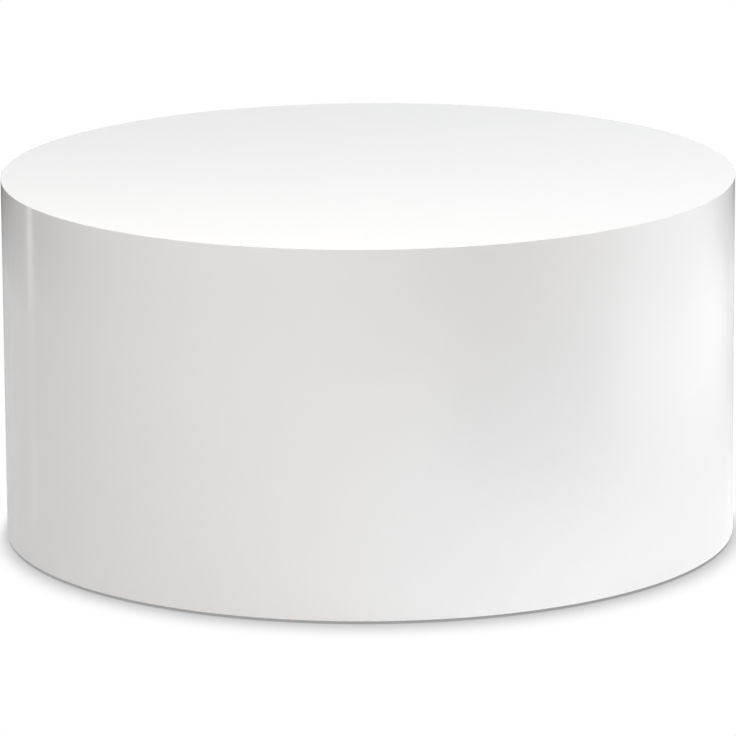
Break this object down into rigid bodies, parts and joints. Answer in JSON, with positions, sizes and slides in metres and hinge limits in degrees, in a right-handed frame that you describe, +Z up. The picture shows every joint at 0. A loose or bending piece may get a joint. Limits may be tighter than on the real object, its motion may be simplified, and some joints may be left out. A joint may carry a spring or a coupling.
{
  "type": "round coffee table",
  "caption": "Round drum coffee table in white lacquer: a level top on a closed cylindrical side, standing on hidden levelling feet.",
  "frame": {"origin": "on the floor, under the centre of the drum", "axes": "+Z up, through the drum's axis. -Y is the front, the side that faces the camera in the picture, and +X is the picture's right."},
  "size_m": [0.8, 0.8, 0.4],
  "materials": {
    "white_lacquer": "sprayed and levelled white satin-gloss lacquer on fibreboard",
    "raw_fibreboard": "raw medium-density fibreboard with sawn edges",
    "poplar_plywood": "raw poplar plywood with sawn edges",
    "zinc_plated_screws": "bright zinc plating on cold-headed steel",
    "zinc_plated_fittings": "bright zinc plating on turned steel",
    "black_nylon": "injection-moulded nylon"
  },
  "bodies": {
    "drum": {"top_panel": "white_lacquer", "front_skin": "white_lacquer", "rear_skin": "white_lacquer", "upper_ring": "raw_fibreboard", "middle_ring": "raw_fibreboard", "base_ring": "raw_fibreboard", "rib_1": "poplar_plywood", "rib_2": "poplar_plywood", "rib_3": "poplar_plywood", "rib_4": "poplar_plywood", "rib_5": "poplar_plywood", "rib_6": "poplar_plywood", "rib_7": "poplar_plywood", "rib_8": "poplar_plywood", "top_screw_1": "zinc_plated_screws", "top_screw_2": "zinc_plated_screws", "top_screw_3": "zinc_plated_screws", "top_screw_4": "zinc_plated_screws", "top_screw_5": "zinc_plated_screws", "top_screw_6": "zinc_plated_screws", "top_screw_7": "zinc_plated_screws", "top_screw_8": "zinc_plated_screws", "rib_upper_screw_1": "zinc_plated_screws", "rib_upper_screw_2": "zinc_plated_screws", "rib_upper_screw_3": "zinc_plated_screws", "rib_upper_screw_4": "zinc_plated_screws", "rib_upper_screw_5": "zinc_plated_screws", "rib_upper_screw_6": "zinc_plated_screws", "rib_upper_screw_7": "zinc_plated_screws", "rib_upper_screw_8": "zinc_plated_screws", "rib_lower_screw_1": "zinc_plated_screws", "rib_lower_screw_2": "zinc_plated_screws", "rib_lower_screw_3": "zinc_plated_screws", "rib_lower_screw_4": "zinc_plated_screws", "rib_lower_screw_5": "zinc_plated_screws", "rib_lower_screw_6": "zinc_plated_screws", "rib_lower_screw_7": "zinc_plated_screws", "rib_lower_screw_8": "zinc_plated_screws", "insert_nut_1": "zinc_plated_fittings", "insert_nut_2": "zinc_plated_fittings", "insert_nut_3": "zinc_plated_fittings", "insert_nut_4": "zinc_plated_fittings"},
    "foot_1": {"leveller_foot_1": "black_nylon"},
    "stem_1": {"leveller_stem_1": "zinc_plated_fittings"},
    "foot_2": {"leveller_foot_2": "black_nylon"},
    "stem_2": {"leveller_stem_2": "zinc_plated_fittings"},
    "foot_3": {"leveller_foot_3": "black_nylon"},
    "stem_3": {"leveller_stem_3": "zinc_plated_fittings"},
    "foot_4": {"leveller_foot_4": "black_nylon"},
    "stem_4": {"leveller_stem_4": "zinc_plated_fittings"}
  },
  "joints": [
    {"name": "foot_1_slide", "type": "slide", "parent": "drum", "child": "foot_1", "axis": [0, 0, -1], "range_m": [0, 0.012]},
    {"name": "stem_1_turn", "type": "hinge", "parent": "foot_1", "child": "stem_1", "pos_m": [0.24854, 0.24854, 0], "axis": [0, 0, -1], "range_deg": [0, 3456]},
    {"name": "foot_2_slide", "type": "slide", "parent": "drum", "child": "foot_2", "axis": [0, 0, -1], "range_m": [0, 0.012]},
    {"name": "stem_2_turn", "type": "hinge", "parent": "foot_2", "child": "stem_2", "pos_m": [-0.24854, 0.24854, 0], "axis": [0, 0, -1], "range_deg": [0, 3456]},
    {"name": "foot_3_slide", "type": "slide", "parent": "drum", "child": "foot_3", "axis": [0, 0, -1], "range_m": [0, 0.012]},
    {"name": "stem_3_turn", "type": "hinge", "parent": "foot_3", "child": "stem_3", "pos_m": [-0.24854, -0.24854, 0], "axis": [0, 0, -1], "range_deg": [0, 3456]},
    {"name": "foot_4_slide", "type": "slide", "parent": "drum", "child": "foot_4", "axis": [0, 0, -1], "range_m": [0, 0.012]},
    {"name": "stem_4_turn", "type": "hinge", "parent": "foot_4", "child": "stem_4", "pos_m": [0.24854, -0.24854, 0], "axis": [0, 0, -1], "range_deg": [0, 3456]}
  ],
  "couplings": [
    {"joint": "stem_1_turn", "follows": "foot_1_slide", "rad_per_m": 5026.5},
    {"joint": "stem_2_turn", "follows": "foot_2_slide", "rad_per_m": 5026.5},
    {"joint": "stem_3_turn", "follows": "foot_3_slide", "rad_per_m": 5026.5},
    {"joint": "stem_4_turn", "follows": "foot_4_slide", "rad_per_m": 5026.5}
  ]
}
